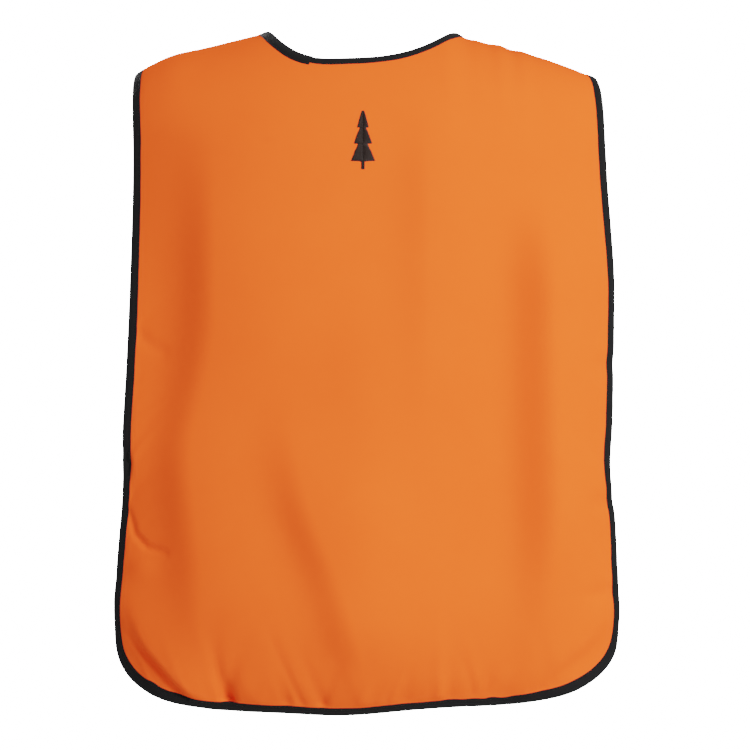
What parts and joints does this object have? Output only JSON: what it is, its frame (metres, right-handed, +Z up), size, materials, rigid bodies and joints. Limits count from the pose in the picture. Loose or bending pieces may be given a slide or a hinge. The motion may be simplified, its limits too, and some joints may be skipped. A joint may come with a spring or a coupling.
{
  "type": "blaze orange vest",
  "caption": "Open-sided high-visibility field vest with a full-length front zip, black bound edges and an elastic strap at each side.",
  "frame": {"origin": "middle of the shoulder line, level with the two points where the neck meets the shoulders", "axes": "+Z up, +Y the way the wearer faces, +X to the wearer's right. The back panel is on the -Y side."},
  "size_m": [0.5362, 0.2187, 0.72],
  "materials": {
    "orange_cloth": "soft satin knit",
    "black_binding": "matte woven tape",
    "black_thread": "satin stitch",
    "zip_cloth": "matte herringbone tape",
    "zip_resin": "moulded satin",
    "zip_metal": "black enamel",
    "elastic": "ribbed elastic webbing",
    "hook_and_loop": "napped",
    "label_cloth": "smooth woven satin"
  },
  "bodies": {
    "back": {"back_panel": "orange_cloth", "back_edge_binding": "black_binding", "back_neck_binding": "black_binding", "left_shoulder_tape": "black_binding", "right_shoulder_tape": "black_binding", "back_emblem": "black_thread"},
    "left_front": {"left_front_panel": "orange_cloth", "left_front_edge_binding": "black_binding", "left_front_neck_binding": "black_binding", "left_zip_tape": "zip_cloth", "left_zip_teeth": "zip_resin", "left_top_stop": "zip_metal", "insertion_pin": "zip_resin", "left_loop_patch": "hook_and_loop"},
    "right_front": {"right_front_panel": "orange_cloth", "right_front_edge_binding": "black_binding", "right_front_neck_binding": "black_binding", "right_zip_tape": "zip_cloth", "right_zip_teeth": "zip_resin", "right_top_stop": "zip_metal", "retainer_box": "zip_resin", "right_loop_patch": "hook_and_loop"},
    "slider": {"zip_slider": "zip_metal"},
    "pull_tab": {"zip_pull_tab": "zip_metal"},
    "left_strap": {"left_side_strap": "elastic", "left_hook_patch": "hook_and_loop"},
    "right_strap": {"right_side_strap": "elastic", "right_hook_patch": "hook_and_loop"},
    "loop": {"hang_loop": "black_binding"},
    "size_label": {"neck_label": "label_cloth"},
    "wash_label": {"care_label": "label_cloth"}
  },
  "joints": [
    {"name": "left_front_lift", "type": "hinge", "parent": "back", "child": "left_front", "pos_m": [-0.108, 0, 0.005], "axis": [0.9553, 0, 0.2955], "range_deg": [0, 80]},
    {"name": "right_front_lift", "type": "hinge", "parent": "back", "child": "right_front", "pos_m": [0.108, 0, 0.005], "axis": [0.9553, 0, -0.2955], "range_deg": [0, 80]},
    {"name": "zip_travel", "type": "slide", "parent": "right_front", "child": "slider", "axis": [0, 0, 1], "range_m": [0, 0.565]},
    {"name": "pull_tab_swing", "type": "hinge", "parent": "slider", "child": "pull_tab", "pos_m": [0.0063, 0.10225, -0.6855], "axis": [1, 0, 0], "range_deg": [0, 165]},
    {"name": "left_strap_swing", "type": "hinge", "parent": "back", "child": "left_strap", "pos_m": [-0.2473, -0.0439, -0.474], "axis": [0, 0, -1], "range_deg": [0, 75]},
    {"name": "right_strap_swing", "type": "hinge", "parent": "back", "child": "right_strap", "pos_m": [0.2473, -0.0439, -0.474], "axis": [0, 0, 1], "range_deg": [0, 75]},
    {"name": "hang_loop_swing", "type": "hinge", "parent": "back", "child": "loop", "pos_m": [0, -0.07306, -0.0345], "axis": [1, 0, 0], "range_deg": [0, 150]},
    {"name": "neck_label_swing", "type": "hinge", "parent": "back", "child": "size_label", "pos_m": [0, -0.07566, -0.0345], "axis": [1, 0, 0], "range_deg": [0, 140]},
    {"name": "care_label_swing", "type": "hinge", "parent": "back", "child": "wash_label", "pos_m": [-0.2562, -0.0383, -0.576], "axis": [0, 0, 1], "range_deg": [0, 130]}
  ]
}
